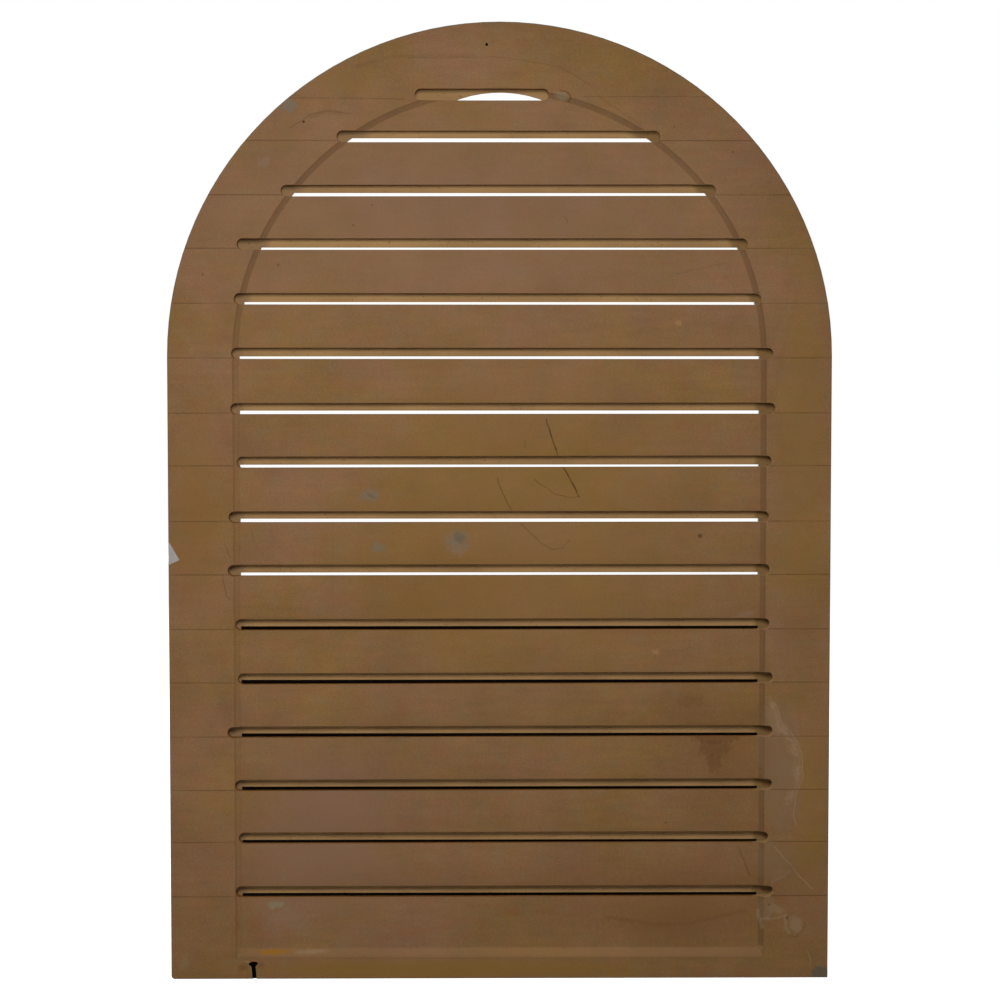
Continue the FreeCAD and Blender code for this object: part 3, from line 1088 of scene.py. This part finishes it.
    def build(self) -> Object:
        """Make the moulding's mesh and piece.

        Returns:
            The piece, with its place in its mesh.
        """
        mesh = self.merged_copy()
        for face in mesh.faces:
            face.material_index = self.region(face)
        self.ease(mesh, self.outline_edges(mesh), self.outline_ease, Region.SOILED_SHADED_EDGE)
        mouths = self.between(mesh, Region.RAW_SKIN, Region.CUT_WALL_SHADED)
        self.ease(mesh, mouths, self.mouth_ease, Region.CUT_WALL_SHADED)
        self.ease(mesh, self.nose_edges(mesh), self.nose_ease, Region.PRIMER)
        self.cut_zones(mesh)
        # The bevel lists its faces in another order each run, so they are sorted by their first edge
        mesh.verts.index_update()
        count = len(mesh.verts)
        mesh.faces.sort(key=lambda face: face.verts[0].index * count + face.verts[1].index)
        for face in mesh.faces:
            face.smooth = True
        limit = math.radians(self.smooth_below)
        for edge in mesh.edges:
            edge.smooth = len(edge.link_faces) == 2 and edge.calc_face_angle() < limit
        return new_piece(mesh, self.name)

    def dress(self, piece: Object) -> None:
        """Give the piece its finishes, in the order of the regions.

        Args:
            piece: The moulding.
        """
        floors = self.slot_floors()[:self.regular_slots]
        lines = tuple((low.z + self.line_rise) * PER_METRE for low, _ in floors)
        spring = (self.high.z - self.high.x) * PER_METRE
        arch = (spring, self.field_reach * PER_METRE)
        finishes = {
            Region.CUT_FOAM: CutFoam(*arch),
            # Painted shade on the slot walls, in the darker wall tones; where they meet the right ends they
            # take the pale floor tone, painted light that takes out the shade there.
            Region.CUT_WALL_SHADED: CutFoam(*arch, "cut_wall_painted_shade", Tone.FOAM_WALL_SHADE, Tone.FOAM_WALL_DEEP_SHADE,
                                     Tone.FOAM_WALL_SHADE, Tone.FOAM_PALE),
            Region.PRIMER: Primer(),
            # The eased rim is darkened: partly dirt, partly painted shade.
            Region.SOILED_SHADED_EDGE: Primer("soiled_shaded_edge", Tone.EDGE, Tone.EDGE_WARM, Tone.EDGE_DARK, 0.7),
            Region.BROKEN_EDGE: BrokenEdge(),
            Region.DARK_POCKET: DarkPocket(),
        }
        for region in sorted(finishes):
            piece.data.materials.append(finishes[region].material())
        for material in RawSkin(self.low.y * PER_METRE, spring, lines).materials():
            piece.data.materials.append(material)

    def slot_floors(self) -> list[tuple[Vector, Vector]]:
        """Find the floors of the slots in the frame's node.

        Returns:
            The lowest and highest corner of each floor, from the bottom up.
        """
        mesh = self.merged_copy()
        floors = []
        for face in mesh.faces:
            level = self.depth(face.verts[0].co)
            if face.normal.y < -0.99 and self.floor_depth < level < self.slot_reach:
                spots = [v.co for v in face.verts]
                floors.append((Vector(map(min, *spots)), Vector(map(max, *spots))))
        mesh.free()
        return sorted(floors, key=lambda corners: corners[0].z)


@dataclass
class GapShade:
    """Dark strips behind the lowest gaps, where the view through the vent ends in its own shadow.

    Attributes:
        name: Name of the strips.
        count: How many gaps are dark, from the bottom up.
        behind: How far a strip stands behind its slot's floor, in metres.
        drop: How far it reaches below the slot's lower edge, in metres.
        rise: How far it reaches above that edge, in metres.
        bite: How far a strip's end reaches into the side of the frame, in metres.
    """

    name: str = "gap_shade"
    count: int = 6
    behind: float = 0.8 * MM
    drop: float = 5.0 * MM
    rise: float = 3.0 * MM
    bite: float = 1.4 * MM

    def build(self, floors: list[tuple[Vector, Vector]], field_reach: float) -> Object:
        """Make the strips.

        Args:
            floors: Lowest and highest corner of each slot's floor, from the bottom up.
            field_reach: Half the width of the louvre field in metres.

        Returns:
            The strips as one object.
        """
        mesh = bmesh.new()
        half = field_reach + self.bite
        for low, _ in floors[:self.count]:
            depth = low.y + self.behind
            ends = [mesh.verts.new((side * half, depth, low.z - self.drop)) for side in (-1, 1)]
            raised = bmesh.ops.extrude_edge_only(mesh, edges=[mesh.edges.new(ends)])
            tops = [v for v in raised["geom"] if isinstance(v, BMVert)]
            bmesh.ops.translate(mesh, verts=tops, vec=(0, 0, self.drop + self.rise))
        piece = new_piece(mesh, self.name)
        graph = FinishGraph(self.name)
        graph.set(Base_Color=Tone.BLACK.value, Roughness=1.0, Specular_IOR_Level=0.0)
        piece.data.materials.append(graph.material)
        return piece


@dataclass(frozen=True)
class Lamp:
    """One soft lamp.

    Attributes:
        name: Name of the lamp.
        place: Where it hangs, in metres.
        aim: What it points at.
        size: Width and height of its face in metres.
        power: Its power in watts.
    """

    name: str
    place: Place
    aim: Place
    size: Spot
    power: float

    def hang(self) -> Object:
        """Hang the lamp.

        Returns:
            The lamp.
        """
        light = bpy.data.lights.new(self.name, "AREA")
        light.shape = "RECTANGLE"
        light.size, light.size_y = self.size
        light.energy = self.power
        lamp = bpy.data.objects.new(self.name, light)
        lamp.location = self.place
        way = Vector(self.aim) - Vector(self.place)
        lamp.rotation_euler = way.to_track_quat("-Z", "Y").to_euler()
        bpy.context.scene.collection.objects.link(lamp)
        return lamp


@dataclass
class Studio:
    """Floor, light and camera. One lamp is in front, above and turned to the left, and a large one behind.

    Attributes:
        floor_reach: Half the floor's size in metres.
        floor_grey: How pale the floor is.
        floor_glow: How far the floor shows white by itself.
        floor_roughness: How matt the floor is.
        ambient: Strength of the even light from all round.
        camera_place: Place of the lens in metres.
        camera_pitch: How far the camera looks down, in degrees.
        camera_yaw: How far it turns to the left, in degrees.
        focal_length: Focal length in millimetres.
    """

    floor_reach: float = 4.0
    floor_grey: float = 0.8
    floor_glow: float = 0.88
    floor_roughness: float = 0.9
    ambient: float = 0.06
    camera_place: Place = (-0.0276, -2.51317, 0.57104)
    camera_pitch: float = 3.733
    camera_yaw: float = -0.636
    focal_length: float = 106.78

    LAMPS = (
        Lamp("front_lamp", (-0.05, -1.3, 0.91), (-0.43, 0, 0.22), (0.35, 0.43), 16.5),
        Lamp("back_lamp", (-0.9, 2.2, 1.7), (0, 0, 0.4), (1.4, 1.2), 40),
    )

    def seen(self, sums: NodeSums) -> NodeSocket:
        """Say whether a ray shows a surface or the background to the eye, straight or by a mirror or glass.

        Args:
            sums: Nodes of a stage finish or the world.

        Returns:
            The socket with 1 for such a ray and 0 for the others.
        """
        path = sums.node("LightPath").outputs
        mirrored = sums.math("MAXIMUM", path["Is Camera Ray"], path["Is Glossy Ray"])
        return sums.math("MAXIMUM", mirrored, path["Is Transmission Ray"])

    def world(self) -> None:
        """Make an even grey light with a white background."""
        world = bpy.data.worlds.new("studio")
        bpy.context.scene.world = world
        world.use_nodes = True
        sums = NodeSums(world.node_tree)
        lit = sums.tree.nodes["Background"]
        sums.fill(lit, Color=WHITE, Strength=self.ambient)
        white = sums.node("Background", WHITE, 1.0)
        mix = sums.node("MixShader", self.seen(sums), lit.outputs[0], white.outputs[0])
        sums.fill(sums.tree.nodes["World Output"], Surface=mix.outputs[0])

    def floor(self) -> Object:
        """Make the pale floor, which shows white and keeps the vent's shadow.

        Returns:
            The floor.
        """
        mesh = bmesh.new()
        bmesh.ops.create_grid(mesh, x_segments=1, y_segments=1, size=self.floor_reach)
        piece = new_piece(mesh, "floor")
        graph = FinishGraph("pale_floor")
        grey = (self.floor_grey,) * 3
        graph.set(Base_Color=(*grey, 1), Roughness=self.floor_roughness)
        glow = graph.node("Emission", WHITE, graph.times(self.seen(graph), self.floor_glow))
        both = graph.node("AddShader", graph.shader.outputs[0], glow.outputs[0])
        graph.fill(graph.tree.nodes["Material Output"], Surface=both.outputs[0])
        piece.data.materials.append(graph.material)
        return piece

    def camera(self) -> Object:
        """Set the camera at the photograph's angle.

        Returns:
            The camera.
        """
        data = bpy.data.cameras.new("camera")
        data.lens = self.focal_length
        camera = bpy.data.objects.new("camera", data)
        camera.location = self.camera_place
        camera.rotation_euler = (math.radians(90 - self.camera_pitch), 0, math.radians(self.camera_yaw))
        bpy.context.scene.collection.objects.link(camera)
        bpy.context.scene.camera = camera
        return camera

    def build(self) -> None:
        """Set up the whole studio."""
        bpy.context.scene.view_settings.view_transform = "Standard"
        self.world()
        self.floor()
        for lamp in self.LAMPS:
            lamp.hang()
        self.camera()


def main() -> None:
    """Build the vent and its studio."""
    logging.basicConfig(level=logging.INFO, format="%(name)s: %(message)s")
    moulding = VentMoulding()
    body = moulding.build()
    moulding.dress(body)
    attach(body, BODY)
    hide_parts(NODE)
    log.info("%s: %d faces", body.name, len(body.data.polygons))
    GapShade().build(moulding.slot_floors(), moulding.field_reach)
    Studio().build()


if __name__ == "__main__":
    main()
